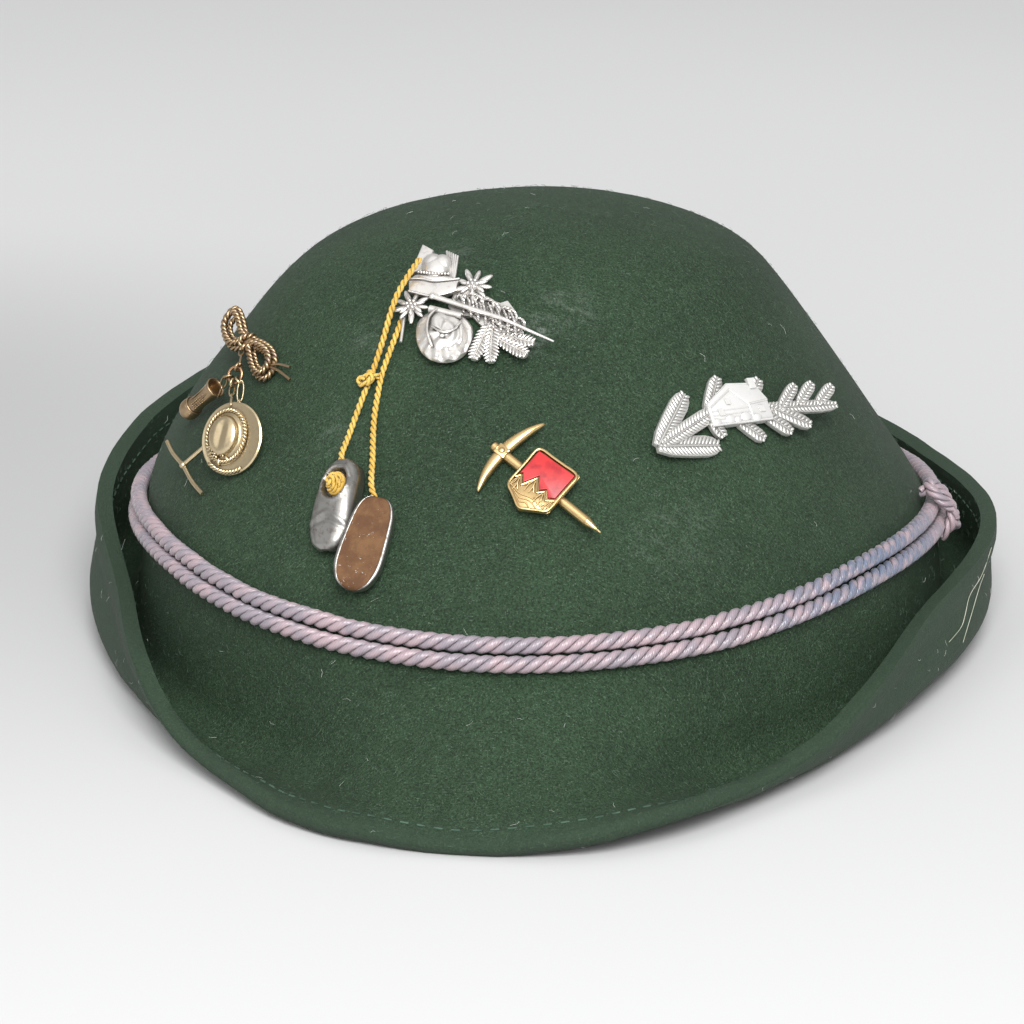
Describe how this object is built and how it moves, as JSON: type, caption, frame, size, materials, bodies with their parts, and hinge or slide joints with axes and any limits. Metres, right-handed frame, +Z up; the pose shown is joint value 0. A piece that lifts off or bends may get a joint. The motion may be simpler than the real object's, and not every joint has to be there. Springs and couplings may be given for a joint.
{
  "type": "tyrolean hat",
  "caption": "Tyrolean hat of felt with an uncreased domed crown, a brim turned up at the sides and back, a twisted cord round the crown and metal souvenir pins on the front.",
  "frame": {"origin": "under the middle of the hat, on the surface that its brim rests on", "axes": "+Z up, the front of the hat towards -Y, the wearer's left towards +X"},
  "size_m": [0.196, 0.2496, 0.0938],
  "materials": {
    "felt": "dark green blocked wool felt, matt, with a fine nap",
    "band_cord": "twisted satin cord, mauve grey with blue grey tints",
    "pin_post": "plain, dull",
    "antique_brass": "antique, dark in the recesses and worn bright on the edges",
    "copper_wire": "copper coloured wire, polished",
    "bright_pewter": "bright cast pewter with darker recesses",
    "dull_pewter": "dark oxidised cast pewter, its sole worn brown",
    "satin_gold": "satin gilt",
    "red_enamel": "glossy red enamel",
    "yellow_cord": "twisted cotton cord, golden yellow"
  },
  "bodies": {
    "root": {"felt_body": "felt", "band_cord_lower": "band_cord", "band_cord_upper": "band_cord", "band_knot": "band_cord", "bow_post": "pin_post", "trophy_post": "pin_post", "pickaxe_post": "pin_post", "fir_post": "pin_post", "rope_bow": "antique_brass", "charm_ring": "copper_wire", "charm_slipper": "antique_brass", "charm_hat": "antique_brass", "charm_pickaxe": "antique_brass", "trophy_pin": "bright_pewter", "pickaxe_pin": "satin_gold", "shield_enamel": "red_enamel", "fir_pin": "bright_pewter", "clog_cord_left": "yellow_cord", "clog_cord_right": "yellow_cord", "clog_cord_knot": "yellow_cord", "clog_lace": "yellow_cord", "clog_left": "dull_pewter", "clog_right": "dull_pewter"}
  },
  "joints": []
}
